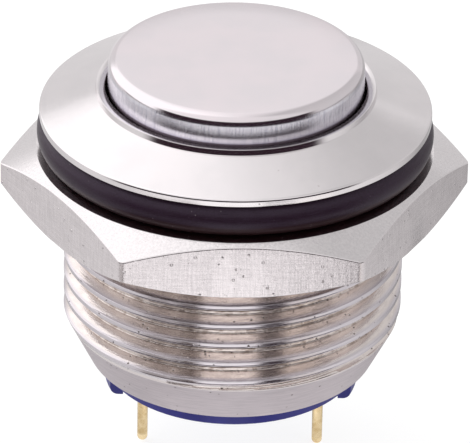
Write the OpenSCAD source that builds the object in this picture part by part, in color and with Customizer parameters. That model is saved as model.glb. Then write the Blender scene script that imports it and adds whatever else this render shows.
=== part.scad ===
// Panel mount push button: a turned metal housing with a raised round button, a ring seal,
// a hexagonal mounting nut and a moulded contact base with two pins.
// Millimetres. Z is the button's axis, and z = 0 is the underside of the flange.

/* [Flange] */
// How far the flange stands out past the thread
flange_lip = 1.15; // [0.9:0.05:2]
// Height of the flange's upright rim
rim_h = 0.33; // [0.2:0.01:0.6]
// Rise of the conical bevel above the rim
bevel_h = 0.98; // [0.6:0.02:1.3]
// Width of the steep collar between the bevel and the button
collar_w = 0.42; // [0.3:0.01:0.8]
// Rise of the steep collar above the bevel
collar_h = 0.19; // [0.1:0.01:0.4]

/* [Button] */
// Wall between the recess round the button and the thread's crests
recess_wall = 1.9; // [1.6:0.05:2.4]
// Height of the button's top above the collar
button_rise = 1.43; // [1.3:0.01:2.4]
// Radius of the button's rounded top edge
button_edge_r = 0.32; // [0.1:0.01:0.6]
// Gap all round between the button and its recess
button_gap = 0.13; // [0.08:0.01:0.25]
// Depth of the recess below the collar
recess_depth = 2.5; // [2.2:0.05:3.2]
// How far the button travels
travel = 1.2; // [0.9:0.05:1.5]
// Diameter of the button's stem
stem_d = 7; // [6.6:0.1:7.6]
// Running clearance round the stem
stem_fit = 0.05; // [0.02:0.01:0.08]
// Wall between the stem's socket and its seal groove
socket_wall = 0.86; // [0.5:0.02:1.2]
// Depth of the socket in the stem that holds the plunger
socket_depth = 2.6; // [1.5:0.1:3.2]

/* [Barrel] */
// Wall between the bore and the thread's crests
barrel_wall = 1.9; // [1.7:0.05:2.6]
// Pitch of the thread
thread_pitch = 1; // [0.75:0.05:1.5]
// Depth of the thread
thread_depth = 0.5; // [0.35:0.01:0.65]
// Width of the thread's crest
crest_w = 0.2; // [0.1:0.01:0.3]
// Width of the thread's root
root_w = 0.2; // [0.1:0.01:0.3]
// Length of the cone at the barrel's end
lead_len = 2.35; // [1.5:0.05:3]
// Depth of the cone at the barrel's end face
lead_depth = 1.17; // [0.7:0.01:1.5]
// Depth of the undercut below the flange
relief_depth = 0.55; // [0.5:0.05:0.8]
// Land of the stem's bore above and below the seal's run
web_land = 0.05; // [0.03:0.01:0.3]

/* [Panel seal] */
// Thickness of the panel seal's round section
seal_section = 1.72; // [1.5:0.02:1.9]
// Gap between the panel seal and the undercut
seal_gap = 0.09; // [0.03:0.01:0.2]

/* [Mounting nut] */
// Wall of the nut at its flats, outside the thread's crests
nut_wall = 1.55; // [1.3:0.05:3]
// Height of the nut
nut_h = 2.7; // [2:0.05:4]
// How far the nut's corners are trimmed
nut_trim = 0.07; // [0.02:0.01:0.3]
// Distance from the nut's flats in to where its upper chamfer starts
nut_top_inset = 0.15; // [0:0.01:0.4]
// Distance from the nut's flats out to where its lower chamfer starts
nut_under_outset = 0.05; // [0:0.01:0.3]
// Slope of the nut's chamfers
nut_slope = 30; // [20:1:40]
// Turn of the nut's corners away from the left and right
nut_turn = 2.4; // [0:0.1:30]
// Clearance between the nut's bore and the thread's crests
nut_fit = 0.05; // [0.02:0.01:0.1]

/* [Contact base] */
// Clearance round the base in the barrel
base_fit = 0.05; // [0.02:0.01:0.1]
// How far the base stands out of the barrel
base_proud = 0.9; // [0.4:0.05:1.5]
// Wall of the base's cup
cup_wall = 0.65; // [0.5:0.05:0.75]
// Height of the base's feet
foot_h = 0.85; // [0.4:0.05:1.5]
// Width of a foot across the base
foot_w = 0.95; // [0.6:0.05:1.1]
// Length of a foot along the base's edge
foot_len = 4; // [2:0.1:6]
// Radius of the feet's rounded outer edge
foot_round = 0.35; // [0.1:0.05:0.35]
// Width of the plunger's guide slots
slot_w = 1.6; // [1.2:0.1:2.4]
// Thickness of the base's floor, from inside the cup to the barrel's end
floor_t = 2.95; // [2.6:0.05:5]
// Diameter of the post inside the return spring
post_d = 1.9; // [1.2:0.1:2.4]
// Height of the post inside the return spring
post_h = 1.1; // [0.6:0.1:2]

/* [Contacts] */
// Diameter of a pin
pin_d = 0.5; // [0.4:0.02:0.6]
// Length of a pin below the base
pin_len = 4.55; // [3:0.05:8]
// Diameter of a terminal's shank, in the base and down to its shoulder
shank_d = 0.84; // [0.82:0.02:1.2]
// How far a shank's shoulder stays above the soles of the feet
shoulder_up = 0.1; // [0.05:0.01:0.14]
// Diameter of a terminal's head
head_d = 1.8; // [1.6:0.1:2]
// Thickness of a terminal's head
head_t = 0.25; // [0.2:0.05:0.4]
// Diameter of a contact rivet's head
rivet_d = 1.6; // [1.2:0.1:1.8]
// Height of a contact rivet's head
rivet_h = 0.42; // [0.3:0.02:0.6]
// Diameter of a contact rivet's tail
tail_d = 0.84; // [0.6:0.02:1]
// Length of a fixed contact's tail in its terminal
tail_len = 0.15; // [0.1:0.01:0.18]
// Gap between the open contacts
contact_gap = 0.8; // [0.5:0.05:0.85]
// Thickness of the contact bridge
bridge_t = 0.4; // [0.25:0.05:0.5]
// Width of the contact bridge's arms
bridge_w = 2; // [1.6:0.1:2.6]
// How far the contact bridge's hub stands out past its clip
hub_lip = 0.15; // [0.05:0.05:0.4]

/* [Plunger and springs] */
// Thickness of the plunger's flange
flange_t = 0.7; // [0.5:0.05:1]
// Room between the cup and what moves or stands in it
cup_room = 0.3; // [0.15:0.05:0.5]
// Wall of the plunger's guide round the return spring
plunger_wall = 0.75; // [0.6:0.05:1]
// Depth of the guide's two flats
flat_depth = 0.35; // [0.2:0.05:0.45]
// Play of the return spring on its post and in the plunger's bore
spring_play = 0.16; // [0.1:0.01:0.25]
// Depth of the plunger's bore for the return spring
spring_bore_depth = 2.2; // [1.8:0.1:2.6]
// Diameter of the return spring's wire
return_wire = 0.28; // [0.2:0.01:0.3]
// Active turns of the return spring
return_turns = 4; // [3:0.5:5]
// Diameter of the contact spring's wire
contact_wire = 0.26; // [0.2:0.01:0.3]
// Active turns of the contact spring
contact_turns = 2; // [1.5:0.5:2.5]
// Length of the contact spring between the plunger and the bridge
contact_spring_len = 1.85; // [1.7:0.05:2.2]

/* [Retaining clips and seals] */
// Thickness of the button's retaining clip
clip_t = 0.4; // [0.3:0.02:0.6]
// Depth of the clip's groove in the stem
clip_groove = 0.55; // [0.4:0.05:0.7]
// Length of the stem below its clip
stem_tail = 0.9; // [0.6:0.05:1.4]
// Thickness of the bridge's retaining clip
bridge_clip_t = 0.3; // [0.2:0.02:0.36]
// How far the bridge's retaining clip stands out of the plunger
bridge_clip_lip = 0.55; // [0.4:0.05:0.8]
// Room between the bridge's clip and the terminals' heads
bridge_clip_room = 0.45; // [0.2:0.05:0.6]
// Depth of the bridge clip's groove in the plunger
bridge_clip_groove = 0.3; // [0.25:0.05:0.4]
// Width of the seal grooves
groove_w = 0.95; // [0.85:0.05:1.1]
// Depth of the seal grooves
groove_depth = 0.74; // [0.6:0.02:0.8]
// Play between pieces that seat on each other
seat_gap = 0.02; // [0.01:0.01:0.05]

/* [Hidden] */
$fn = 96;
metal = "#c9c6c4";
steel = "#a9abb0";
rubber = "#1d1c24";
blue = "#2f3596";
gold = "#d9bd6b";
silver = "#d8d6d0";
white = "#e6e4dc";

// Radii, from the return spring outwards
spring_bore_r = post_d / 2 + return_wire + 2 * spring_play;
plunger_r = spring_bore_r + plunger_wall;
bridge_clip_r = plunger_r + bridge_clip_lip;
hub_r = bridge_clip_r + hub_lip;
contact_x = bridge_clip_r + bridge_clip_room + head_d / 2;
cup_r = contact_x + head_d / 2 + cup_room;
base_r = cup_r + cup_wall;
bore_r = base_r + base_fit;
thread_r = bore_r + barrel_wall;
root_r = thread_r - thread_depth;
relief_r = thread_r - relief_depth;
barrel_end_r = thread_r - lead_depth;
flange_r = thread_r + flange_lip;
recess_r = thread_r - recess_wall;
collar_r = recess_r + collar_w;
button_r = recess_r - button_gap;
stem_r = stem_d / 2;
guide_r = stem_r + stem_fit;
plug_r = stem_r - groove_depth - socket_wall;
clip_r = cup_r - cup_room;
rivet_r = rivet_d / 2;
tail_r = tail_d / 2;
nut_bore_r = thread_r + nut_fit;
nut_flat_r = thread_r + nut_wall;
nut_corner_r = nut_flat_r / cos(30) - nut_trim;
nut_top_r = nut_flat_r - nut_top_inset;
nut_under_r = nut_flat_r + nut_under_outset;

// Heights, from the top down
bevel_top = rim_h + bevel_h;
collar_top = bevel_top + collar_h;
button_top = collar_top + button_rise;
recess_floor = collar_top - recess_depth;
head_bottom = recess_floor + travel;
stem_groove_top = recess_floor - web_land;
web_bottom = stem_groove_top - groove_w - travel - web_land;
clip_top = web_bottom - seat_gap;
clip_bottom = clip_top - clip_t;
stem_bottom = clip_bottom - seat_gap - stem_tail;
flange_top = stem_bottom - seat_gap;
flange_bottom = flange_top - flange_t;
bridge_top = flange_bottom - contact_spring_len;
bridge_bottom = bridge_top - bridge_t;
bridge_clip_top = bridge_bottom - seat_gap;
moving_contact = bridge_bottom - seat_gap - rivet_h;
fixed_contact = moving_contact - contact_gap;
head_top = fixed_contact - rivet_h - seat_gap;
base_floor = head_top - head_t - seat_gap;
barrel_bottom = base_floor - floor_t;
base_bottom = barrel_bottom - base_proud;
foot_bottom = base_bottom - foot_h;
pin_bottom = base_bottom - pin_len;
nut_top = -seal_section - 1.5 * seat_gap;
nut_bottom = nut_top - nut_h;

// Thread: crests step up the barrel from the top of the lead cone
first_crest = barrel_bottom + lead_len;
last_crest = -seal_section - thread_pitch / 2;
crest_count = floor((last_crest - first_crest) / thread_pitch) + 1;
flank_h = (thread_pitch - crest_w - root_w) / 2;

// Small edges
edge = 0.06;
bore_edge = 0.15;
nut_bore_edge = 0.35;
stem_edge = 0.2;

// Snap ridge that holds the base in the barrel
snap_proud = 0.22;
snap_h = 0.5;
snap_play = 0.05;
snap_land = 0.7;
snap_z = barrel_bottom + snap_land + snap_h / 2;

// Groove of the base's seal
base_groove_top = snap_z + snap_h / 2 + 0.3 + groove_w;

// Slots in the cup's wall for the plunger's two lugs
slot_play = 0.1;
slot_bottom = flange_bottom - travel - 2 * slot_play;
lug_r = base_r - 0.3;

// Room under the plunger when the button is fully pressed
plunger_clear = 0.1;
plunger_bottom = base_floor + travel + plunger_clear;
spring_top = plunger_bottom + spring_bore_depth;
plug_top = stem_bottom + socket_depth - 0.3;

// A solid turned about Z from the section that is its child
module turned() rotate_extrude() children();

// A flat ring between two radii and two heights, as a section to be turned
module band(r0, r1, z0, z1) translate([r0, z0]) square([r1 - r0, z1 - z0]);

// A rubber ring of round section, with its top at the given height
module seal_ring(inner_r, section, top) turned() translate([inner_r + section / 2, top - section / 2])
    circle(section / 2);

// An open retaining clip: three tongues reach the groove, and the mouth opens at the back
module open_clip(outer_r, groove_r, t, top) translate([0, 0, top - t]) linear_extrude(t) {
    relief = (outer_r + groove_r) / 2;
    difference() {
        circle(outer_r);
        circle(relief);
        translate([0, outer_r]) square([1.5 * groove_r, 2 * outer_r], center = true);
    }
    intersection() {
        difference() {
            circle(outer_r);
            circle(groove_r);
        }
        for (a = [190, 270, 350]) rotate(a) translate([outer_r / 2, 0])
            square([outer_r, 0.5 * groove_r], center = true);
    }
}

// A coil spring with closed ends between two heights
module coil_spring(mean_r, wire, z0, z1, active) {
    steps = 18;
    sides = 6;
    closed = 1;
    closed_pitch = wire * 1.04;
    active_pitch = (z1 - z0 - wire - 2 * closed * closed_pitch) / active;
    rings = floor((2 * closed + active) * steps);
    function rise(u) = min(u, closed) * closed_pitch + max(min(u - closed, active), 0) * active_pitch
        + max(u - closed - active, 0) * closed_pitch;
    points = [for (i = [0:rings], j = [0:sides - 1])
        let (r = mean_r + wire / 2 * cos(360 * j / sides),
            z = z0 + wire / 2 + rise(i / steps) + wire / 2 * sin(360 * j / sides))
        [r * cos(360 * i / steps), r * sin(360 * i / steps), z]];
    walls = [for (i = [0:rings - 1], j = [0:sides - 1])
        let (a = i * sides + j, b = i * sides + (j + 1) % sides)
        [a, b, b + sides, a + sides]];
    start = [for (j = [sides - 1:-1:0]) j];
    finish = [for (j = [0:sides - 1]) rings * sides + j];
    polyhedron(points, concat([start], walls, [finish]), convexity = 12);
}

// A domed contact rivet on the axis: its tail points up for 1 and down for -1
module contact_rivet(face, tail_len, up) translate([0, 0, face]) mirror([0, 0, up > 0 ? 0 : 1]) {
    dome = 0.12;
    turned() polygon([[0, 0], [rivet_r * 0.5, dome * 0.25], [rivet_r * 0.85, dome],
        [rivet_r, dome * 1.8], [rivet_r, rivet_h], [tail_r, rivet_h],
        [tail_r, rivet_h + tail_len], [0, rivet_h + tail_len]]);
}

module housing() color(metal) turned() difference() {
    polygon(concat(
        [[0, collar_top], [recess_r + edge, collar_top], [collar_r, bevel_top],
            [flange_r - edge / 2, rim_h + edge / 4], [flange_r, rim_h - edge / 2],
            [flange_r, edge], [flange_r - edge, 0], [relief_r, 0], [relief_r, -seal_section],
            [root_r, -seal_section]],
        [for (i = [crest_count - 1:-1:1]) let (z = first_crest + i * thread_pitch)
            each [[root_r, z + crest_w / 2 + flank_h], [thread_r, z + crest_w / 2],
                [thread_r, z - crest_w / 2], [root_r, z - crest_w / 2 - flank_h]]],
        [[root_r, first_crest + crest_w / 2 + flank_h], [thread_r, first_crest + crest_w / 2],
            [thread_r, first_crest], [barrel_end_r, barrel_bottom], [0, barrel_bottom]]));
    band(0, recess_r, recess_floor, collar_top + 1);
    band(0, guide_r, web_bottom - 1, recess_floor + 1);
    band(0, bore_r, barrel_bottom - 1, web_bottom);
    polygon([[0, barrel_bottom - 1], [bore_r + bore_edge + 1, barrel_bottom - 1],
        [bore_r, barrel_bottom + bore_edge], [0, barrel_bottom + bore_edge]]);
    band(0, base_r + snap_proud + snap_play, snap_z - snap_h / 2 - snap_play,
        snap_z + snap_h / 2 + snap_play);
}

module panel_seal() color(rubber) seal_ring(relief_r + seal_gap, seal_section, -seat_gap / 2);

module mounting_nut() color(metal) rotate(nut_turn) difference() {
    intersection() {
        translate([0, 0, nut_bottom]) cylinder(r = nut_flat_r / cos(30), h = nut_h, $fn = 6);
        turned() polygon([[0, nut_top], [nut_top_r, nut_top],
            [nut_corner_r, nut_top - (nut_corner_r - nut_top_r) * tan(nut_slope)],
            [nut_corner_r, nut_bottom + (nut_corner_r - nut_under_r) * tan(nut_slope)],
            [nut_under_r, nut_bottom], [0, nut_bottom]]);
    }
    turned() {
        band(0, nut_bore_r, nut_bottom - 1, nut_top + 1);
        for (z = [nut_top, nut_bottom])
            polygon([[0, z - nut_bore_edge], [nut_bore_r, z - nut_bore_edge],
                [nut_bore_r + nut_bore_edge, z], [nut_bore_r, z + nut_bore_edge],
                [0, z + nut_bore_edge]]);
    }
}

module button_cap() color(metal) difference() {
    union() {
        turned() polygon([[0, button_top - button_edge_r], [button_r, button_top - button_edge_r],
            [button_r, head_bottom + edge], [button_r - edge, head_bottom], [stem_r, head_bottom],
            [stem_r, stem_bottom + stem_edge], [stem_r - stem_edge, stem_bottom], [0, stem_bottom]]);
        turned() band(0, button_r - button_edge_r, head_bottom + edge, button_top);
        turned() translate([button_r - button_edge_r, button_top - button_edge_r]) circle(button_edge_r);
    }
    turned() {
        band(stem_r - groove_depth, stem_r + 1, stem_groove_top - groove_w, stem_groove_top);
        band(stem_r - clip_groove, stem_r + 1, clip_bottom - seat_gap, clip_top + seat_gap);
        band(0, plug_r + seat_gap, stem_bottom - 1, stem_bottom + socket_depth);
    }
}

module stem_seal() {
    section = groove_depth + stem_fit - 2 * seat_gap;
    color(rubber) seal_ring(stem_r - groove_depth + seat_gap, section,
        stem_groove_top - (groove_w - section) / 2);
}

module button_clip() color(steel) open_clip(clip_r, stem_r - clip_groove + seat_gap, clip_t, clip_top);

module plunger() color(white) difference() {
    union() {
        turned() union() {
            band(0, plug_r, flange_top - flange_t / 2, plug_top);
            band(0, clip_r, flange_bottom, flange_top);
        }
        intersection() {
            turned() band(0, plunger_r, plunger_bottom, flange_top - flange_t / 2);
            translate([-plunger_r - 1, -plunger_r + flat_depth, plunger_bottom])
                cube([2 * plunger_r + 2, 2 * (plunger_r - flat_depth), flange_top - plunger_bottom]);
        }
        intersection() {
            turned() band(0, lug_r, flange_bottom, flange_top);
            translate([-slot_w / 2 + slot_play, -base_r, flange_bottom])
                cube([slot_w - 2 * slot_play, 2 * base_r, flange_t]);
        }
    }
    turned() {
        band(plunger_r - bridge_clip_groove, plunger_r + 1, bridge_clip_top - bridge_clip_t - seat_gap,
            bridge_clip_top + seat_gap);
        band(0, spring_bore_r, plunger_bottom - 1, spring_top);
    }
}

module return_spring() {
    coil_r = spring_bore_r - spring_play - return_wire / 2;
    color(steel) coil_spring(coil_r, return_wire, base_floor + seat_gap, spring_top - seat_gap, return_turns);
}

module contact_spring() {
    coil_r = plunger_r + spring_play + contact_wire / 2;
    color(steel) coil_spring(coil_r, contact_wire, bridge_top + seat_gap, flange_bottom - seat_gap,
        contact_turns);
}

module contact_bridge() color(gold) translate([0, 0, bridge_bottom]) linear_extrude(bridge_t) difference() {
    union() {
        circle(hub_r);
        for (x = [-contact_x, contact_x]) translate([x, 0]) circle(bridge_w / 2);
        square([2 * contact_x, bridge_w], center = true);
    }
    intersection() {
        circle(plunger_r + seat_gap);
        square([2 * plunger_r + 1, 2 * (plunger_r - flat_depth + seat_gap)], center = true);
    }
    for (x = [-contact_x, contact_x]) translate([x, 0]) circle(tail_r + seat_gap);
}

module bridge_contact(x) color(silver) translate([x, 0, 0]) contact_rivet(moving_contact, bridge_t, 1);
module bridge_contact_left() bridge_contact(-contact_x);
module bridge_contact_right() bridge_contact(contact_x);

module bridge_clip() color(steel) open_clip(bridge_clip_r, plunger_r - bridge_clip_groove + seat_gap,
    bridge_clip_t, bridge_clip_top);

module contact_base() color(blue) difference() {
    union() {
        turned() difference() {
            union() {
                polygon([[0, base_floor], [cup_r, base_floor], [cup_r, web_bottom - 5 * seat_gap],
                    [base_r, web_bottom - 5 * seat_gap], [base_r, base_bottom + edge],
                    [base_r - edge, base_bottom], [0, base_bottom]]);
                polygon([[base_r - 1, snap_z - snap_h / 2], [base_r, snap_z - snap_h / 2],
                    [base_r + snap_proud, snap_z], [base_r + snap_proud, snap_z + snap_h / 2],
                    [base_r - 1, snap_z + snap_h / 2]]);
                band(0, post_d / 2, base_floor - 1, base_floor + post_h);
            }
            band(base_r - groove_depth, base_r + 1, base_groove_top - groove_w, base_groove_top);
        }
        intersection() {
            union() {
                turned() band(0, base_r, foot_bottom + foot_round, base_bottom + edge);
                turned() band(0, base_r - foot_round, foot_bottom, base_bottom + edge);
                turned() translate([base_r - foot_round, foot_bottom + foot_round]) circle(foot_round);
            }
            for (s = [-1, 1]) translate([s * (base_r - foot_w / 2), 0, base_bottom + edge / 2 - foot_h / 2])
                cube([foot_w, foot_len, foot_h + edge], center = true);
        }
    }
    translate([-slot_w / 2, -base_r - 1, slot_bottom]) cube([slot_w, 2 * base_r + 2, -slot_bottom]);
    for (x = [-contact_x, contact_x]) translate([x, 0, base_bottom - 1])
        cylinder(r = shank_d / 2 + seat_gap, h = base_floor - base_bottom + 2);
}

module base_seal() {
    section = groove_depth + base_fit - 2 * seat_gap;
    color(rubber) seal_ring(base_r - groove_depth + seat_gap, section,
        base_groove_top - (groove_w - section) / 2);
}

module fixed_contact(x) color(silver) translate([x, 0, 0]) contact_rivet(fixed_contact, tail_len, -1);
module fixed_contact_left() fixed_contact(-contact_x);
module fixed_contact_right() fixed_contact(contact_x);

module terminal(x) color(gold) translate([x, 0, 0]) turned() difference() {
    union() {
        band(0, head_d / 2, head_top - head_t, head_top);
        band(0, shank_d / 2, foot_bottom + shoulder_up, head_top - head_t / 2);
        band(0, pin_d / 2, pin_bottom + pin_d / 2, base_bottom);
        intersection() {
            translate([0, pin_bottom + pin_d / 2]) circle(pin_d / 2);
            band(0, pin_d, pin_bottom, pin_bottom + pin_d / 2);
        }
    }
    band(0, tail_r + seat_gap, head_top - tail_len - 2 * seat_gap, head_top + 1);
}
module terminal_left() terminal(-contact_x);
module terminal_right() terminal(contact_x);

housing();
panel_seal();
mounting_nut();
button_cap();
stem_seal();
button_clip();
plunger();
return_spring();
contact_spring();
contact_bridge();
bridge_contact_left();
bridge_contact_right();
bridge_clip();
contact_base();
base_seal();
fixed_contact_left();
fixed_contact_right();
terminal_left();
terminal_right();
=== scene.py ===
"""A panel mount push button in a white studio, seen from the front and 29 degrees above."""
import math

import bmesh
import bpy
from mathutils import Matrix, Vector


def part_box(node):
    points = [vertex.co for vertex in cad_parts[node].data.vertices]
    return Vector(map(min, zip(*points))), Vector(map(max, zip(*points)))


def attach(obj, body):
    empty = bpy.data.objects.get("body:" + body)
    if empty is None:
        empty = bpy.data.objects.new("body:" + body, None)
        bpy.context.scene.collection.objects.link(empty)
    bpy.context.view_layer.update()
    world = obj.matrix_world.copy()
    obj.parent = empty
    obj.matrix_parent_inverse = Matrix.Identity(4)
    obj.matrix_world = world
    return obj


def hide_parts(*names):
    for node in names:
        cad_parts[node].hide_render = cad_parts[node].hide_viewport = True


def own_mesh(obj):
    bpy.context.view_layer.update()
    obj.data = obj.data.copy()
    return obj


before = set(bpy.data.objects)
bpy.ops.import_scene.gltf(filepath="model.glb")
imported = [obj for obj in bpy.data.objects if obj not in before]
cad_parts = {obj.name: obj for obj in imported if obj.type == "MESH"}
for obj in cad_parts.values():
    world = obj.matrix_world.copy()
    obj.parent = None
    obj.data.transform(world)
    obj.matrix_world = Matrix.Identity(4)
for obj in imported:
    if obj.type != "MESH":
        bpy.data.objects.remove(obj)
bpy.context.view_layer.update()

MM = 0.001
FULL = 2 * math.pi


def span(node, axis):
    """Lowest and highest coordinate of a CAD node on an axis, in millimetres."""
    low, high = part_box(node)
    return low[axis] / MM, high[axis] / MM


# ---------------------------------------------------------------- sizes, in millimetres
BARREL_BOTTOM, COLLAR_TOP = span("housing", 2)
FLANGE_R = span("housing", 0)[1]
STEM_BOTTOM, BUTTON_TOP = span("button_cap", 2)
BUTTON_R = span("button_cap", 0)[1]
SEAL_BOTTOM, SEAL_TOP = span("panel_seal", 2)
SEAL_R = span("panel_seal", 0)[1]
NUT_BOTTOM, NUT_TOP = span("mounting_nut", 2)
PIN_BOTTOM, HEAD_TOP = span("terminal_left", 2)
BASE_BOTTOM = PIN_BOTTOM + 4.55
EDGE = 0.06

RIM_H = 0.33
BEVEL_TOP = 1.31
RECESS_R = BUTTON_R + 0.13
COLLAR_R = RECESS_R + 0.42
RECESS_FLOOR = COLLAR_TOP - 2.5
HEAD_BOTTOM = RECESS_FLOOR + 1.21
THREAD_R = FLANGE_R - 1.15
ROOT_R = THREAD_R - 0.5
RELIEF_R = THREAD_R - 0.55
BORE_R = THREAD_R - 1.9
WEB_BOTTOM = RECESS_FLOOR - 2.25
END_R = THREAD_R - 1.17
PITCH = 1.0
CREST_W = 0.2
FLANK_H = 0.3
CONE_TOP = BARREL_BOTTOM + 2.35
RUN_OUT = 0.33
THREAD_END = CONE_TOP - 0.27
BURR = 0.016
RELIEF_BOTTOM = -1.72
FRONT_CREST = -5.95

RIM_OUT = 0.45
RIM_DOWN = 0.54
SHOULDER_R = 4.3
SHOULDER_DROP = 0.025
STEM_R = 3.5
GUIDE_R = 3.55
SOCKET_R = 1.92

NUT_FLAT = THREAD_R + 1.55
NUT_CORNER = NUT_FLAT / math.cos(math.radians(30)) - 0.07
NUT_TOP_R = NUT_FLAT - 0.25
NUT_TOP_SLOPE = 0.542
NUT_UNDER_R = NUT_FLAT + 0.05
NUT_SLOPE = math.tan(math.radians(30))
NUT_TURN = math.radians(2.4)
NUT_BORE = THREAD_R + 0.05
NUT_BORE_EDGE = 0.35


# ---------------------------------------------------------------- mesh helpers
def rounded(points, steps=4, closed=True):
    """Replaces each corner (r, z, radius) of a section by an arc with a point just before and after it."""
    out = []
    count = len(points)
    for i, (r, z, radius) in enumerate(points):
        corner = Vector((r, z))
        if not closed and i in (0, count - 1):
            out.append((r, z))
            continue
        before = Vector(points[i - 1][:2]) - corner
        after = Vector(points[(i + 1) % count][:2]) - corner
        if radius <= 0 or before.length < 1e-9 or after.length < 1e-9:
            out += [(r, z)] * (steps + 3)
            continue
        turn = math.pi - before.angle(after)
        cut = radius * math.tan(turn / 2)
        most = 0.42 * min(before.length, after.length)
        cut = min(cut, most)
        a = corner + before.normalized() * cut
        b = corner + after.normalized() * cut
        support = 0.15 * cut
        out.append(tuple(a + before.normalized() * support))
        for k in range(steps + 1):
            t = k / steps
            p = a * (1 - t) ** 2 + corner * 2 * t * (1 - t) + b * t ** 2
            out.append(tuple(p))
        out.append(tuple(b + after.normalized() * support))
    return out


def polar_mesh(name, columns, angles, body, material, node):
    """A closed turned mesh: columns[i] is the section at angles[i], and the last angle is a full turn after the first."""
    mesh = bpy.data.meshes.new(name)
    rows = len(columns[0])
    verts = [(r * MM * math.cos(a), r * MM * math.sin(a), z * MM)
             for a, column in zip(angles, columns) for r, z in column]
    faces = []
    for i in range(len(angles) - 1):
        for j in range(rows):
            k = (j + 1) % rows
            faces.append((i * rows + j, (i + 1) * rows + j, (i + 1) * rows + k, i * rows + k))
    mesh.from_pydata(verts, [], faces)
    bm = bmesh.new()
    bm.from_mesh(mesh)
    bmesh.ops.remove_doubles(bm, verts=bm.verts, dist=2e-7)
    bmesh.ops.dissolve_degenerate(bm, edges=bm.edges, dist=1e-8)
    bmesh.ops.recalc_face_normals(bm, faces=bm.faces)
    for face in bm.faces:
        face.smooth = True
    bm.to_mesh(mesh)
    bm.free()
    obj = bpy.data.objects.new(name, mesh)
    bpy.context.scene.collection.objects.link(obj)
    mesh.materials.append(material)
    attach(obj, body)
    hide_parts(node)
    return obj


def even_angles(count):
    """Evenly spaced angles over a full turn, both ends included."""
    return [FULL * i / count for i in range(count + 1)]


# ---------------------------------------------------------------- materials
class Finish:
    """A procedural material built from few words. Lengths in its textures are in millimetres."""

    def __init__(self, name, metallic=0.0, rough=0.4, specular=0.5):
        self.mat = bpy.data.materials.new(name)
        self.mat.use_nodes = True
        self.tree = self.mat.node_tree
        self.bsdf = self.tree.nodes["Principled BSDF"]
        self.bsdf.inputs["Metallic"].default_value = metallic
        self.bsdf.inputs["Roughness"].default_value = rough
        self.bsdf.inputs["Specular IOR Level"].default_value = specular
        self.heights = []
        scale = self.node("ShaderNodeVectorMath", operation="SCALE")
        scale.inputs["Scale"].default_value = 1 / MM
        self.link(self.node("ShaderNodeTexCoord").outputs["Object"], scale.inputs[0])
        self.place = scale.outputs[0]
        split = self.node("ShaderNodeSeparateXYZ")
        self.link(self.place, split.inputs[0])
        self.x, self.y, self.z = split.outputs

    def node(self, kind, **settings):
        made = self.tree.nodes.new(kind)
        for key, value in settings.items():
            setattr(made, key, value)
        return made

    def link(self, out, into):
        """Joins two sockets, or sets a socket to a number."""
        if isinstance(out, (int, float)):
            into.default_value = out
        elif isinstance(out, tuple):
            into.default_value = (*out, 1) if len(into.default_value) == 4 else out
        else:
            self.tree.links.new(out, into)

    def math(self, operation, *values):
        made = self.node("ShaderNodeMath", operation=operation)
        for value, into in zip(values, made.inputs):
            self.link(value, into)
        return made.outputs[0]

    def vector(self, x, y, z):
        made = self.node("ShaderNodeCombineXYZ")
        for value, into in zip((x, y, z), made.inputs):
            self.link(value, into)
        return made.outputs[0]

    def radius(self):
        return self.math("SQRT", self.math("ADD", self.math("MULTIPLY", self.x, self.x),
                                           self.math("MULTIPLY", self.y, self.y)))

    def around(self, round_scale, r_scale, z_scale):
        """Coordinates stretched round the axis: how fast the texture changes round it, outwards and along it."""
        r = self.radius()
        return self.vector(self.math("MULTIPLY", self.math("DIVIDE", self.x, r), round_scale),
                           self.math("MULTIPLY", self.math("DIVIDE", self.y, r), round_scale),
                           self.math("ADD", self.math("MULTIPLY", r, r_scale),
                                     self.math("MULTIPLY", self.z, z_scale)))

    def noise(self, place=None, scale=1.0, detail=3.0, rough=0.5):
        made = self.node("ShaderNodeTexNoise")
        self.link(place or self.place, made.inputs["Vector"])
        for key, value in (("Scale", scale), ("Detail", detail), ("Roughness", rough)):
            made.inputs[key].default_value = value
        return made.outputs["Fac"]

    def cells(self, place=None, scale=1.0, random=1.0):
        """Distance to the nearest of scattered points."""
        made = self.node("ShaderNodeTexVoronoi")
        self.link(place or self.place, made.inputs["Vector"])
        made.inputs["Scale"].default_value = scale
        made.inputs["Randomness"].default_value = random
        return made.outputs["Distance"]

    def ramp(self, value, low, high, to_low=0.0, to_high=1.0, smooth=True):
        made = self.node("ShaderNodeMapRange", interpolation_type="SMOOTHSTEP" if smooth else "LINEAR")
        for item, into in zip((value, low, high, to_low, to_high), made.inputs):
            self.link(item, into)
        return made.outputs[0]

    def mix(self, factor, a, b):
        """A colour between a and b."""
        made = self.node("ShaderNodeMix", data_type="RGBA")
        self.link(factor, made.inputs[0])
        self.link(a, made.inputs[6])
        self.link(b, made.inputs[7])
        return made.outputs[2]

    def height(self, value, depth):
        """Adds relief: value times a depth in millimetres."""
        self.heights.append(self.math("MULTIPLY", value, depth))

    def done(self, colour=None, rough=None):
        if colour is not None:
            self.link(colour, self.bsdf.inputs["Base Color"])
        if rough is not None:
            self.link(rough, self.bsdf.inputs["Roughness"])
        if self.heights:
            total = self.heights[0]
            for more in self.heights[1:]:
                total = self.math("ADD", total, more)
            bump = self.node("ShaderNodeBump")
            bump.inputs["Distance"].default_value = MM
            self.link(total, bump.inputs["Height"])
            self.link(bump.outputs[0], self.bsdf.inputs["Normal"])
        return self.mat


def pits(f, scale, size, share, place=None):
    """Sparse pits: 1 inside, 0 outside. size is a pit's radius in cells, share how many cells have one."""
    spot = f.ramp(f.cells(place, scale), size * 0.4, size, 1, 0)
    where = f.ramp(f.noise(place, scale * 0.37, 2, 0.6), 1 - share, 1.03 - share)
    return f.math("MULTIPLY", spot, where)


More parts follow.
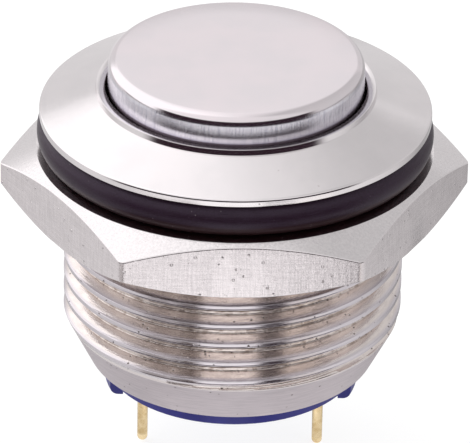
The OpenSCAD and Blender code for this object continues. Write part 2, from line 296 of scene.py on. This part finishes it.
def bright_nickel():
    """The flange: polished after turning, with faint rings and a few specks, and painted shade darkening the hollow
    round the button and the bores below it.
    """
    f = Finish("bright_nickel", metallic=1)
    rings = f.noise(f.around(1.2, 26, 26), 1, 3, 0.6)
    cloud = f.noise(None, 0.5, 3)
    speck = pits(f, 2.2, 0.12, 0.38)
    f.height(rings, 0.0009)
    f.height(f.noise(None, 1.1, 2), 0.004)
    f.height(speck, -0.002)
    colour = f.mix(f.ramp(cloud, 0.3, 0.7), (0.79, 0.755, 0.765), (0.755, 0.725, 0.735))
    colour = f.mix(f.math("MULTIPLY", speck, 0.4), colour, (0.40, 0.35, 0.34))
    # Painted shade: inside the hollow's radius the wall, floor and bores go dark, standing for the shade in the gap
    # round the button.
    recess_shade = f.ramp(f.radius(), RECESS_R + 0.02, RECESS_R)
    colour = f.mix(recess_shade, colour, (0.16, 0.13, 0.14))
    return f.done(colour, f.ramp(rings, 0.3, 0.7, 0.11, 0.16))


def thread_nickel():
    """The barrel: nickel over a cut thread, warm brown in the grooves with painted shade darkening their roots, satin
    and pitted on the cone.
    """
    f = Finish("thread_nickel", metallic=1)
    r = f.radius()
    groove = f.ramp(r, THREAD_R - 0.02, THREAD_R - 0.2)
    cone = f.ramp(f.z, THREAD_END - 0.02, THREAD_END - 0.16)
    in_groove = f.math("MULTIPLY", groove, f.math("SUBTRACT", 1, cone))
    tear = f.noise(f.around(9, 14, 14), 1, 5, 0.65)
    run = f.noise(f.around(2.2, 30, 30), 1, 3, 0.6)
    grain = f.noise(None, 22, 3, 0.6)
    spots = pits(f, 3.2, 0.22, 0.45)
    f.height(run, 0.005)
    f.height(f.math("MULTIPLY", tear, in_groove), 0.009)
    f.height(f.math("MULTIPLY", grain, cone), 0.006)
    f.height(spots, -0.02)
    warm = f.mix(f.ramp(tear, 0.35, 0.68), (0.82, 0.755, 0.72), (0.72, 0.65, 0.625))
    crest = f.mix(f.ramp(run, 0.3, 0.7), (0.69, 0.65, 0.68), (0.58, 0.545, 0.58))
    end = f.mix(f.ramp(f.noise(f.around(6, 12, 12), 1, 4, 0.6), 0.3, 0.7), (0.60, 0.55, 0.575), (0.50, 0.46, 0.485))
    colour = f.mix(in_groove, crest, warm)
    colour = f.mix(cone, colour, end)
    # Painted shade: near the root of each groove the colour is pulled patchily towards dark brown.
    root_shade = f.math("MULTIPLY", f.ramp(r, ROOT_R + 0.12, ROOT_R + 0.01),
                  f.ramp(f.noise(f.around(14, 4, 4), 1, 4, 0.7), 0.42, 0.66, 0.2, 0.75))
    colour = f.mix(f.math("MULTIPLY", root_shade, in_groove), colour, (0.26, 0.19, 0.15))
    colour = f.mix(spots, colour, (0.2, 0.17, 0.165))
    rough = f.math("ADD", f.ramp(cone, 0, 1, 0.11, 0.46, smooth=False), f.ramp(tear, 0.3, 0.7, 0.0, 0.04))
    return f.done(colour, rough)


def satin_nickel():
    """The nut: turned satin on its chamfers, brushed crosswise and pitted on its six sides."""
    f = Finish("satin_nickel", metallic=1)
    step = math.radians(60)
    turn = f.math("SUBTRACT", f.math("ARCTAN2", f.y, f.x), NUT_TURN)
    facing = f.math("ADD", f.math("SNAP", turn, step), step / 2 + NUT_TURN)
    along = f.math("SUBTRACT", f.math("MULTIPLY", f.y, f.math("COSINE", facing)),
                   f.math("MULTIPLY", f.x, f.math("SINE", facing)))
    split = f.node("ShaderNodeSeparateXYZ")
    f.link(f.node("ShaderNodeTexCoord").outputs["Normal"], split.inputs[0])
    side = f.ramp(f.math("ABSOLUTE", split.outputs[2]), 0.55, 0.35)
    face = f.vector(along, f.z, facing)
    upright = f.noise(f.vector(f.math("MULTIPLY", along, 17), f.math("MULTIPLY", f.z, 1.1), facing), 1, 4, 0.62)
    level = f.noise(f.vector(f.math("MULTIPLY", along, 0.9), f.math("MULTIPLY", f.z, 15), facing), 1, 4, 0.62)
    slant = f.noise(f.vector(f.math("ADD", f.math("MULTIPLY", along, 6), f.math("MULTIPLY", f.z, 6)),
                             f.math("SUBTRACT", f.z, along), facing), 1, 3, 0.6)
    cross = f.math("ADD", upright, f.math("MULTIPLY", level, 0.8))
    rings = f.noise(f.around(2, 22, 22), 1, 4, 0.6)
    grain = f.noise(None, 9, 4, 0.65)
    spots = f.math("MULTIPLY", pits(f, 2.3, 0.2, 0.5, face), side)
    fine = pits(f, 6, 0.22, 0.36)
    f.height(f.math("MULTIPLY", cross, side), 0.006)
    f.height(f.math("MULTIPLY", slant, side), 0.003)
    f.height(f.math("MULTIPLY", rings, f.math("SUBTRACT", 1, side)), 0.002)
    f.height(f.math("MULTIPLY", grain, f.math("ADD", f.math("MULTIPLY", side, 0.6), 0.2)), 0.005)
    f.height(spots, 0.035)
    f.height(f.math("MULTIPLY", fine, side), -0.008)
    plain_side = f.mix(f.ramp(cross, 0.65, 1.1), (0.79, 0.745, 0.755), (0.67, 0.63, 0.64))
    plain_top = f.mix(f.ramp(grain, 0.3, 0.7), (0.78, 0.75, 0.755), (0.70, 0.67, 0.68))
    colour = f.mix(side, plain_top, plain_side)
    colour = f.mix(f.math("MULTIPLY", fine, 0.22), colour, (0.40, 0.35, 0.35))
    rough = f.math("ADD", f.ramp(side, 0, 1, 0.15, 0.24, smooth=False), f.ramp(grain, 0.3, 0.7, -0.03, 0.05))
    return f.done(colour, rough)


def polished_nickel():
    """The button: even satin polish on top, mirror polish with upright marks on its side, and painted shade darkening
    it below the collar top.
    """
    f = Finish("polished_nickel", metallic=1)
    top = f.ramp(f.z, BUTTON_TOP - 0.12, BUTTON_TOP - 0.01)
    side = f.math("SUBTRACT", 1, f.ramp(f.z, BUTTON_TOP - 0.5, BUTTON_TOP - 0.32))
    marks = f.noise(f.around(90, 0.4, 0.9), 1, 3, 0.65)
    cloud = f.noise(None, 0.35, 3, 0.5)
    fine = f.noise(f.vector(f.math("MULTIPLY", f.x, 3), f.math("MULTIPLY", f.y, 26), f.z), 1, 3, 0.6)
    f.height(f.math("MULTIPLY", marks, side), 0.009)
    f.height(f.math("MULTIPLY", fine, top), 0.0012)
    f.height(cloud, 0.006)
    colour = f.mix(f.ramp(cloud, 0.35, 0.65), (0.775, 0.715, 0.74), (0.745, 0.70, 0.725))
    wall = f.mix(f.ramp(marks, 0.4, 0.7), (0.76, 0.745, 0.80), (0.60, 0.59, 0.66))
    colour = f.mix(side, colour, wall)
    # Painted shade: below the collar top the button's wall and stem are darkened, standing for the shade in the gap
    # round it.
    colour = f.mix(f.ramp(f.z, COLLAR_TOP - 0.02, COLLAR_TOP - 0.2), colour, (0.14, 0.11, 0.12))
    return f.done(colour, f.ramp(side, 0, 1, 0.11, 0.19, smooth=False))


def black_rubber(name="black_rubber"):
    """Moulded rubber with a violet cast, fine scuffs and dust, and painted shade that makes it darker and browner low
    down.
    """
    f = Finish(name, rough=0.3, specular=0.32)
    scuff = f.noise(f.around(7, 34, 34), 1, 5, 0.7)
    grain = f.noise(None, 14, 4, 0.6)
    dust = pits(f, 5, 0.2, 0.42)
    f.height(grain, 0.004)
    f.height(f.ramp(scuff, 0.62, 0.75), 0.01)
    f.link((0.86, 0.82, 1.0), f.bsdf.inputs["Specular Tint"])
    # Painted shade: below a height just above the panel seal's bottom, the rubber takes a darker brown colour in place
    # of the violet. This covers the seal's lower part and the seals further down.
    lower = f.ramp(f.z, SEAL_BOTTOM + 0.75, SEAL_BOTTOM + 0.55)
    violet = f.mix(f.ramp(grain, 0.3, 0.7), (0.015, 0.005, 0.011), (0.024, 0.011, 0.024))
    colour = f.mix(lower, violet, (0.022, 0.0065, 0.0075))
    colour = f.mix(f.ramp(scuff, 0.66, 0.8, 0, 0.5), colour, (0.10, 0.085, 0.10))
    colour = f.mix(f.math("MULTIPLY", dust, 0.5), colour, (0.22, 0.19, 0.2))
    return f.done(colour, f.ramp(scuff, 0.35, 0.7, 0.30, 0.46))


def moulded(name, light, dark, rough=0.38):
    """Moulded plastic: a slight cloud of colour and a fine grain."""
    f = Finish(name, rough=rough)
    cloud = f.noise(None, 0.8, 4, 0.6)
    grain = f.noise(None, 16, 3, 0.6)
    f.height(cloud, 0.01)
    f.height(grain, 0.003)
    return f.done(f.mix(f.ramp(cloud, 0.3, 0.7), light, dark), f.ramp(grain, 0.3, 0.7, rough - 0.05, rough + 0.07))


def metal(name, light, dark, rough=0.25, stretch=(3, 3, 9), depth=0.004):
    """Drawn, stamped or plated metal with marks along one direction and some tarnish."""
    f = Finish(name, metallic=1, rough=rough)
    marks = f.noise(f.vector(*[f.math("MULTIPLY", value, k) for value, k in zip((f.x, f.y, f.z), stretch)]), 1, 4, 0.6)
    cloud = f.noise(None, 2.6, 4, 0.65)
    f.height(marks, depth)
    return f.done(f.mix(f.ramp(cloud, 0.38, 0.68), light, dark), f.ramp(marks, 0.3, 0.7, rough - 0.06, rough + 0.08))


nickel = bright_nickel()
thread = thread_nickel()
satin = satin_nickel()
polished = polished_nickel()
rubber = black_rubber()
steel = metal("spring_steel", (0.60, 0.60, 0.62), (0.47, 0.46, 0.48), 0.24, (9, 9, 3))
white_plastic = moulded("white_plastic", (0.80, 0.79, 0.74), (0.74, 0.73, 0.68))
copper = metal("copper_alloy", (0.78, 0.47, 0.27), (0.62, 0.34, 0.19), 0.26, (2, 12, 4))
silver = metal("silver_contact", (0.88, 0.87, 0.85), (0.72, 0.70, 0.67), 0.2, (6, 6, 6), 0.002)
blue = moulded("blue_plastic", (0.022, 0.023, 0.235), (0.018, 0.018, 0.195), 0.34)
gold = metal("gold_plate", (0.86, 0.69, 0.42), (0.66, 0.49, 0.25), 0.27, (5, 5, 2.5), 0.01)


# ---------------------------------------------------------------- housing
def pitch_profile():
    """One pitch of the thread as (height above the crest's middle, radius), from its top down."""
    half = CREST_W / 2
    flank = half + FLANK_H
    corners = []
    for turn in (1, 0, -1):
        mid = turn * PITCH
        corners += [(ROOT_R, mid + flank, 0.09), (THREAD_R, mid + half, 0.035),
                    (THREAD_R - BURR, mid + half - 0.055, 0.03), (THREAD_R - BURR, mid - half + 0.055, 0.03),
                    (THREAD_R, mid - half, 0.035), (ROOT_R, mid - flank, 0.09)]
    points = rounded(corners, steps=3, closed=False)
    return [(z, r) for r, z in points if -PITCH / 2 < z <= PITCH / 2]


PROFILE = pitch_profile()
PROFILE_LOOP = [(z + PITCH, r) for z, r in PROFILE[-1:]] + PROFILE + [(z - PITCH, r) for z, r in PROFILE[:1]]


def cone_radius(z):
    """Outer radius of the barrel, which narrows below the thread."""
    return THREAD_R - max(CONE_TOP - z, 0) * (THREAD_R - END_R) / (CONE_TOP - BARREL_BOTTOM)


def thread_radius(z, middle):
    """Radius of the thread at a height, where a crest's middle is at the height middle."""
    d = z - middle
    d -= PITCH * round(d / PITCH)
    r = ROOT_R
    for (z0, r0), (z1, r1) in zip(PROFILE_LOOP, PROFILE_LOOP[1:]):
        if z1 <= d <= z0:
            r = r0 if z0 == z1 else r0 + (r1 - r0) * (z0 - d) / (z0 - z1)
            break
    fade_in = min(max((RELIEF_BOTTOM - z) / 0.9, 0), 1)
    r = ROOT_R + (r - ROOT_R) * fade_in
    fade_out = min(max((z - THREAD_END) / RUN_OUT, 0), 1)
    return cone_radius(z) - (THREAD_R - r) * fade_out ** 0.7


def thread_rows(angle):
    """The thread's points at an angle, from the undercut down to the lead cone. Crests rise with the angle."""
    middle = FRONT_CREST + PITCH * (angle / FULL - 0.75)
    top_turn = math.ceil((RELIEF_BOTTOM - FRONT_CREST) / PITCH) + 1
    low_turn = math.floor((THREAD_END - FRONT_CREST) / PITCH) - 1
    rows = []
    for turn in range(top_turn, low_turn - 1, -1):
        for dz, _ in PROFILE:
            z = middle + turn * PITCH + dz
            z = min(max(z, THREAD_END), RELIEF_BOTTOM)
            rows.append((thread_radius(z, middle), z))
    return rows


def build_housing():
    snap_mid = BARREL_BOTTOM + 0.95
    snap_r = BORE_R + 0.22
    top = rounded([(RECESS_R, COLLAR_TOP - 0.07, 0.02), (COLLAR_R - 0.02, COLLAR_TOP, 0.02),
                   (COLLAR_R + 0.03, BEVEL_TOP - 0.08, 0.02), (FLANGE_R, RIM_H + 0.01, 0.13), (FLANGE_R, 0, 0.03), (RELIEF_R, 0, 0.05),
                   (RELIEF_R, RELIEF_BOTTOM, 0.02), (ROOT_R, RELIEF_BOTTOM, 0)], closed=False)
    support = THREAD_END - 0.04
    low = rounded([(cone_radius(THREAD_END), THREAD_END, 0), (cone_radius(support), support, 0),
                   (END_R, BARREL_BOTTOM, 0.08),
                   (BORE_R + 0.15, BARREL_BOTTOM, 0.04), (BORE_R, BARREL_BOTTOM + 0.15, 0.04),
                   (BORE_R, snap_mid - 0.3, 0.03), (snap_r, snap_mid - 0.3, 0.03),
                   (snap_r, snap_mid + 0.3, 0.03), (BORE_R, snap_mid + 0.3, 0.03),
                   (BORE_R, WEB_BOTTOM, 0.05), (GUIDE_R, WEB_BOTTOM, 0.04),
                   (GUIDE_R, RECESS_FLOOR, 0.04), (RECESS_R, RECESS_FLOOR, 0.08),
                   (RECESS_R, COLLAR_TOP - 0.07, 0)], closed=False)
    angles = even_angles(240)
    columns = [top[1:-1] + thread_rows(a) + low for a in angles]
    obj = polar_mesh("housing_shell", columns, angles, "housing", nickel, "housing")
    obj.data.materials.append(thread)
    for face in obj.data.polygons:
        z = face.center[2] / MM
        if RELIEF_BOTTOM - 0.01 > z and math.hypot(face.center[0], face.center[1]) / MM > BORE_R + 0.3:
            face.material_index = 1
    return obj


# ---------------------------------------------------------------- nut
def nut_angles():
    """Column angles: close together at the six trimmed corners and even along the flats."""
    half = math.radians(30) - math.acos(NUT_FLAT / NUT_CORNER)
    soft = math.radians(0.34)
    near = [-half - 1.6 * soft, -half - soft, -half - 0.5 * soft, -half, -half + 0.5 * soft, -half + soft]
    near += [-a for a in reversed(near)]
    flat = 22
    out = []
    for corner in range(6):
        base = NUT_TURN + corner * math.radians(60)
        out += [base + a for a in near]
        start = near[-1]
        end = math.radians(60) + near[0]
        out += [base + start + (end - start) * i / flat for i in range(1, flat)]
    return out + [out[0] + FULL]


def nut_radius(angle):
    """Radius of the nut's side at an angle, with its trimmed corners eased."""
    turn = (angle - NUT_TURN) % math.radians(60)
    hexagon = NUT_FLAT / math.cos(turn - math.radians(30))
    ease = 0.03
    gap = hexagon - NUT_CORNER
    return NUT_CORNER + (gap - math.sqrt(gap * gap + ease * ease)) / 2


def build_nut():
    angles = nut_angles()
    columns = []
    for a in angles:
        r = nut_radius(a)
        low_r = min(r, NUT_UNDER_R)
        columns.append(rounded([
            (NUT_BORE + NUT_BORE_EDGE, NUT_TOP, 0.03), (NUT_TOP_R, NUT_TOP, 0.04),
            (r, NUT_TOP - (r - NUT_TOP_R) * NUT_TOP_SLOPE, 0.11),
            (r, NUT_BOTTOM + (r - low_r) * NUT_SLOPE, 0.04), (low_r - 0.001, NUT_BOTTOM, 0.03),
            (NUT_BORE + NUT_BORE_EDGE, NUT_BOTTOM, 0.03), (NUT_BORE, NUT_BOTTOM + NUT_BORE_EDGE, 0.03),
            (NUT_BORE, NUT_TOP - NUT_BORE_EDGE, 0.03)]))
    return polar_mesh("nut_body", columns, angles, "nut", satin, "mounting_nut")


# ---------------------------------------------------------------- button and seal
def build_button():
    groove_top = RECESS_FLOOR - 0.05
    clip_top = WEB_BOTTOM - 0.02
    arc = [math.radians(90 - 5 * i) for i in range(19)]
    rim = [(BUTTON_R - RIM_OUT * (1 - math.cos(a)), BUTTON_TOP - SHOULDER_DROP - RIM_DOWN * (1 - math.sin(a)), 0)
           for a in arc]
    steps = [i / 8 for i in range(8)]
    shoulder = [(SHOULDER_R + (BUTTON_R - RIM_OUT - SHOULDER_R) * t, BUTTON_TOP - SHOULDER_DROP * t * t, 0)
                for t in steps]
    wall = rim[-1][1] - 0.01
    column = [(0, BUTTON_TOP)] + [point[:2] for point in shoulder + rim] + rounded([
        (BUTTON_R, wall, 0), (BUTTON_R, HEAD_BOTTOM, 0.08),
        (STEM_R, HEAD_BOTTOM, 0.06), (STEM_R, groove_top, 0.03), (STEM_R - 0.74, groove_top, 0.05),
        (STEM_R - 0.74, groove_top - 0.95, 0.05), (STEM_R, groove_top - 0.95, 0.03),
        (STEM_R, clip_top + 0.02, 0.02), (STEM_R - 0.55, clip_top + 0.02, 0.03),
        (STEM_R - 0.55, clip_top - 0.42, 0.03), (STEM_R, clip_top - 0.42, 0.02),
        (STEM_R, STEM_BOTTOM, 0.2), (SOCKET_R, STEM_BOTTOM, 0.06),
        (SOCKET_R, STEM_BOTTOM + 2.6, 0.06), (0, STEM_BOTTOM + 2.6, 0)], closed=False)
    angles = even_angles(192)
    return polar_mesh("button_body", [column] * len(angles), angles, "button", polished, "button_cap")


def build_seal():
    radius = (SEAL_TOP - SEAL_BOTTOM) / 2
    mid_r = SEAL_R - radius
    mid_z = (SEAL_TOP + SEAL_BOTTOM) / 2
    sides = 40
    column = [(mid_r + radius * math.cos(FULL * i / sides), mid_z + radius * math.sin(FULL * i / sides))
              for i in range(sides)]
    angles = even_angles(192)
    return polar_mesh("seal_ring", [column] * len(angles), angles, "housing", rubber, "panel_seal")


def build_coil(name, node, body, wire, active):
    """A coil spring with closed ends, built in the place of a CAD part and attached to a body."""
    low, high = span(node, 2)
    mean = span(node, 0)[1] - wire / 2
    steps, sides = 36, 12
    closed_pitch = wire * 1.04
    active_pitch = (high - low - wire - 2 * closed_pitch) / active
    rings = round((2 + active) * steps)
    verts, faces = [], []
    for i in range(rings + 1):
        u = i / steps
        rise = closed_pitch * (min(u, 1) + max(u - 1 - active, 0)) + active_pitch * max(min(u - 1, active), 0)
        a = FULL * u
        for j in range(sides):
            b = FULL * j / sides
            r = (mean + wire / 2 * math.cos(b)) * MM
            z = (low + wire / 2 + rise + wire / 2 * math.sin(b)) * MM
            verts.append((r * math.cos(a), r * math.sin(a), z))
    for i in range(rings):
        for j in range(sides):
            k = (j + 1) % sides
            faces.append((i * sides + j, i * sides + k, (i + 1) * sides + k, (i + 1) * sides + j))
    faces.append(tuple(range(sides - 1, -1, -1)))
    faces.append(tuple(rings * sides + j for j in range(sides)))
    mesh = bpy.data.meshes.new(name)
    mesh.from_pydata(verts, [], faces)
    for face in mesh.polygons:
        face.use_smooth = len(face.vertices) == 4
    mesh.materials.append(steel)
    obj = bpy.data.objects.new(name, mesh)
    bpy.context.scene.collection.objects.link(obj)
    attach(obj, body)
    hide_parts(node)
    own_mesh(obj)
    return obj


build_coil("return_coil", "return_spring", "housing", 0.28, 4)
build_coil("contact_coil", "contact_spring", "bridge", 0.26, 2)
housing = build_housing()
nut = build_nut()
button = build_button()
seal = build_seal()

FINISHES = {
    "stem_seal": rubber, "base_seal": rubber, "button_clip": steel, "bridge_clip": steel,
    "plunger": white_plastic,
    "contact_bridge": copper, "bridge_contact_left": silver, "bridge_contact_right": silver,
    "fixed_contact_left": silver, "fixed_contact_right": silver, "terminal_left": gold,
    "terminal_right": gold, "contact_base": blue,
}
for name, finish in FINISHES.items():
    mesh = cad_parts[name].data
    mesh.materials.clear()
    mesh.materials.append(finish)


# ---------------------------------------------------------------- studio
FLOOR_Z = PIN_BOTTOM - 0.02


def disc(name, radius, z):
    mesh = bpy.data.meshes.new(name)
    bm = bmesh.new()
    bmesh.ops.create_circle(bm, cap_ends=True, segments=96, radius=radius * MM)
    bm.to_mesh(mesh)
    bm.free()
    obj = bpy.data.objects.new(name, mesh)
    obj.location.z = z * MM
    bpy.context.scene.collection.objects.link(obj)
    return obj


def shown_mix(tree, shown, lit):
    """Mixes two shaders: shown for camera, glossy and transmission rays, lit for the rest."""
    nodes, links = tree.nodes, tree.links
    path = nodes.new("ShaderNodeLightPath")
    first = nodes.new("ShaderNodeMath")
    first.operation = "MAXIMUM"
    links.new(path.outputs["Is Camera Ray"], first.inputs[0])
    links.new(path.outputs["Is Glossy Ray"], first.inputs[1])
    second = nodes.new("ShaderNodeMath")
    second.operation = "MAXIMUM"
    links.new(first.outputs[0], second.inputs[0])
    links.new(path.outputs["Is Transmission Ray"], second.inputs[1])
    mix = nodes.new("ShaderNodeMixShader")
    links.new(second.outputs[0], mix.inputs["Fac"])
    links.new(lit, mix.inputs[1])
    links.new(shown, mix.inputs[2])
    return mix.outputs[0]


def build_world():
    world = bpy.data.worlds.new("studio")
    bpy.context.scene.world = world
    world.use_nodes = True
    tree = world.node_tree
    tree.nodes.clear()
    white = tree.nodes.new("ShaderNodeBackground")
    white.inputs["Color"].default_value = (1, 1, 1, 1)
    white.inputs["Strength"].default_value = 1
    soft = tree.nodes.new("ShaderNodeBackground")
    soft.inputs["Color"].default_value = (1, 0.99, 0.98, 1)
    soft.inputs["Strength"].default_value = 0.7
    out = tree.nodes.new("ShaderNodeOutputWorld")
    tree.links.new(shown_mix(tree, white.outputs[0], soft.outputs[0]), out.inputs["Surface"])


def build_floor():
    floor = disc("floor", 600, FLOOR_Z)
    mat = bpy.data.materials.new("floor_paper")
    mat.use_nodes = True
    tree = mat.node_tree
    tree.nodes.clear()
    paper = tree.nodes.new("ShaderNodeBsdfDiffuse")
    paper.inputs["Color"].default_value = (0.8, 0.8, 0.8, 1)
    shade = tree.nodes.new("ShaderNodeBsdfDiffuse")
    shade.inputs["Color"].default_value = (0.28, 0.28, 0.28, 1)
    glow = tree.nodes.new("ShaderNodeEmission")
    glow.inputs["Strength"].default_value = 0.82
    add = tree.nodes.new("ShaderNodeAddShader")
    tree.links.new(shade.outputs[0], add.inputs[0])
    tree.links.new(glow.outputs[0], add.inputs[1])
    out = tree.nodes.new("ShaderNodeOutputMaterial")
    tree.links.new(shown_mix(tree, add.outputs[0], paper.outputs[0]), out.inputs["Surface"])
    floor.data.materials.append(mat)


def aim(obj, spot):
    """Turns an object so that its -Z points at a spot, with Y up."""
    way = Vector(spot) - obj.location
    obj.rotation_euler = way.to_track_quat("-Z", "Y").to_euler()


def lamp(name, place, size, radiance, colour=(1, 1, 1)):
    """A soft lamp that looks at the object. The tent stands for it in reflections."""
    light = bpy.data.lights.new(name, "AREA")
    light.shape = "RECTANGLE"
    light.size = size[0] * MM
    light.size_y = size[1] * MM
    light.energy = radiance * math.pi * light.size * light.size_y
    light.color = colour
    obj = bpy.data.objects.new(name, light)
    obj.location = Vector(place) * MM
    bpy.context.scene.collection.objects.link(obj)
    obj.visible_glossy = False
    aim(obj, (0, 0, -0.003))
    return obj


def fade(value, low, high):
    """0 at low and 1 at high, with a smooth step between."""
    t = min(max((value - low) / (high - low), 0), 1)
    return t * t * (3 - 2 * t)


def between(value, low, high, soft):
    """1 between low and high, with a soft edge on both sides."""
    return fade(value, low - soft, low + soft) * (1 - fade(value, high - soft, high + soft))


def along(value, stops):
    """A value between stops (place, value)."""
    for (x0, v0), (x1, v1) in zip(stops, stops[1:]):
        if value <= x1:
            t = min(max((value - x0) / (x1 - x0), 0), 1)
            return v0 + (v1 - v0) * t
    return stops[-1][1]


def blend(a, b, share):
    return tuple(x + (y - x) * share for x, y in zip(a, b))


WHITE = (1.0, 0.985, 0.99)
DARK = (0.030, 0.016, 0.024)


def tone(level, colour=WHITE):
    return tuple(level * c for c in colour)


def sky(way):
    """What the metal sees above the floor in a direction: a white tent with a dark gap in front of it."""
    x, y, z = way
    rise = math.degrees(math.asin(z))
    turn = math.degrees(math.atan2(x, -y))
    level = along(x, SKY_STOPS)
    back = fade(y, 0.74, 0.86)
    cap = along(x, CAP_STOPS)
    level += (cap - level) * back
    low_back = back * (1 - fade(rise, *BACK_EDGE))
    level += (along(x, LOW_BACK_STOPS) - level) * low_back
    front = 1 - fade(y, -0.5, -0.2)
    level += (along(x, FRONT_STOPS) - level) * front
    colour = tone(level)
    belt = between(rise, -60, BELT_TOP, 1.5) * (1 - fade(abs(turn), BELT_TURN - 9, BELT_TURN + 6))
    gap = between(rise, -40, 2.5, 1.5) * (1 - fade(abs(turn), 100, 125))
    colour = blend(colour, tone(0.40), gap * (1 - belt))
    return blend(colour, DARK, belt)


def ground(turn, reach):
    """What the metal sees on the floor, at an angle from the front (degrees to the right) and a distance, with painted
    shade of the object on it: a darker ring close round it and darker sides, darkest to the right.
    """
    colour = tone(1.25)
    for low, high, soft, level, tint in SECTORS:
        share = between(turn, low, high, soft) * fade(reach, 9, 15) * (1 - fade(reach, 38, 41))
        colour = blend(colour, tone(level, tint), share)
    # Painted shade: a darker ring on the floor close round the object.
    colour = blend(colour, tone(0.80), between(reach, 7.5, 12.5, 1.5))
    far = fade(reach, NEAR_FLOOR - 2, NEAR_FLOOR + 3)
    # Painted shadow: the side levels are lowest to the right, where the object's shadow falls.
    side = along(turn, SIDE_SHADE_STOPS)
    beyond = blend(tone(side), DARK, 1 - fade(abs(turn), BELT_TURN - 9, BELT_TURN + 6))
    colour = blend(colour, tone(side), 1 - fade(-abs(turn), -58, -46))
    return blend(colour, beyond, far)


SKY_STOPS = ((-1, 1.40), (-0.4, 1.42), (-0.05, 1.16), (0, 1.10), (0.35, 0.67), (0.8, 0.72), (1, 0.75))
CAP_STOPS = ((-1, 1.1), (-0.3, 1.02), (0, 1.0), (0.3, 0.95), (1, 0.9))
LOW_BACK_STOPS = ((-1, 0.88), (0, 0.80), (1, 0.70))
FRONT_STOPS = ((-1, 1.15), (0, 1.0), (1, 0.85))
# Floor levels to the sides. The low values to the right are painted shadow of the object.
SIDE_SHADE_STOPS = ((-180, 0.9), (-125, 0.70), (-90, 0.84), (-60, 0.85), (60, 0.98), (90, 0.80), (125, 0.42), (180, 0.7))
BACK_EDGE = (24.6, 26.2)
BELT_TOP = 19
BELT_TURN = 70
NEAR_FLOOR = 49
BROWN = (1.0, 0.78, 0.70)
VIOLET = (1.0, 0.80, 0.92)
SECTORS = (
    (-72, -34, 3.5, 0.44, (1.0, 0.93, 0.91)), (-33, -18.5, 1.5, 0.13, BROWN), (-29.5, -27.5, 0.8, 0.60, WHITE),
    (15.5, 33, 2.0, 0.07, VIOLET), (32.5, 62, 3.0, 0.92, (1.0, 0.95, 0.91)),
)


def reflected(name, places, colours, across):
    """A sheet that shows in reflections alone, with a colour at each of its points."""
    mesh = bpy.data.meshes.new(name)
    down = len(places) // across
    faces = [(j * across + i, j * across + i + 1, (j + 1) * across + i + 1, (j + 1) * across + i)
             for j in range(down - 1) for i in range(across - 1)]
    mesh.from_pydata([Vector(p) * MM for p in places], [], faces)
    layer = mesh.color_attributes.new("tone", "FLOAT_COLOR", "POINT")
    for item, colour in zip(layer.data, colours):
        item.color = (*colour, 1)
    mat = bpy.data.materials.new(name)
    mat.use_nodes = True
    tree = mat.node_tree
    tree.nodes.clear()
    seen = tree.nodes.new("ShaderNodeVertexColor")
    seen.layer_name = "tone"
    glow = tree.nodes.new("ShaderNodeEmission")
    tree.links.new(seen.outputs["Color"], glow.inputs["Color"])
    tree.links.new(glow.outputs[0], tree.nodes.new("ShaderNodeOutputMaterial").inputs["Surface"])
    mesh.materials.append(mat)
    obj = bpy.data.objects.new(name, mesh)
    bpy.context.scene.collection.objects.link(obj)
    obj.visible_camera = False
    obj.visible_diffuse = False
    obj.visible_shadow = False
    return obj


def build_tent():
    """The dome and the floor that the metal mirrors."""
    across = 361
    places, colours = [], []
    for j in range(241):
        rise = math.radians(90 - 0.5 * j)
        for i in range(across):
            turn = math.radians(i - 180)
            way = (math.cos(rise) * math.sin(turn), -math.cos(rise) * math.cos(turn), math.sin(rise))
            places.append([300 * c for c in way[:2]] + [300 * way[2] - 3])
            colours.append(sky(way))
    reflected("tent", places, colours, across)
    places, colours = [], []
    for reach in [0.5 + 1.5 * k for k in range(60)] + [100, 150, 290]:
        for i in range(721):
            turn = i / 2 - 180
            a = math.radians(turn)
            places.append((reach * math.sin(a), -reach * math.cos(a), FLOOR_Z + 0.4))
            colours.append(ground(turn, reach))
    reflected("tent_floor", places, colours, 721)


def build_camera():
    """The photograph's camera: 29 degrees above the horizon, 250 mm from the object."""
    elevation = math.radians(28.91)
    distance = 250.25
    roll = math.radians(1.1)
    back = Vector((0, -math.cos(elevation), math.sin(elevation)))
    target = Vector((0.066, 0, -5.82))
    camera = bpy.data.cameras.new("camera")
    camera.sensor_fit = "HORIZONTAL"
    camera.sensor_width = 36
    camera.lens = 407.7
    camera.clip_start = 0.01
    camera.clip_end = 10
    obj = bpy.data.objects.new("camera", camera)
    bpy.context.scene.collection.objects.link(obj)
    obj.location = (back * distance + Vector((0, 0, -4.887))) * MM
    way = target * MM - obj.location
    obj.rotation_euler = (way.to_track_quat("-Z", "Y").to_matrix() @ Matrix.Rotation(roll, 3, "Z")).to_euler()
    bpy.context.scene.camera = obj


build_world()
build_floor()
lamp("key", (-150, 90, 150), (240, 240), 1.5)
lamp("fill_left", (-190, -130, 70), (120, 160), 1.1)
lamp("fill_right", (190, -130, 70), (120, 160), 1.1)
build_tent()
build_camera()
bpy.context.scene.view_settings.view_transform = "Standard"
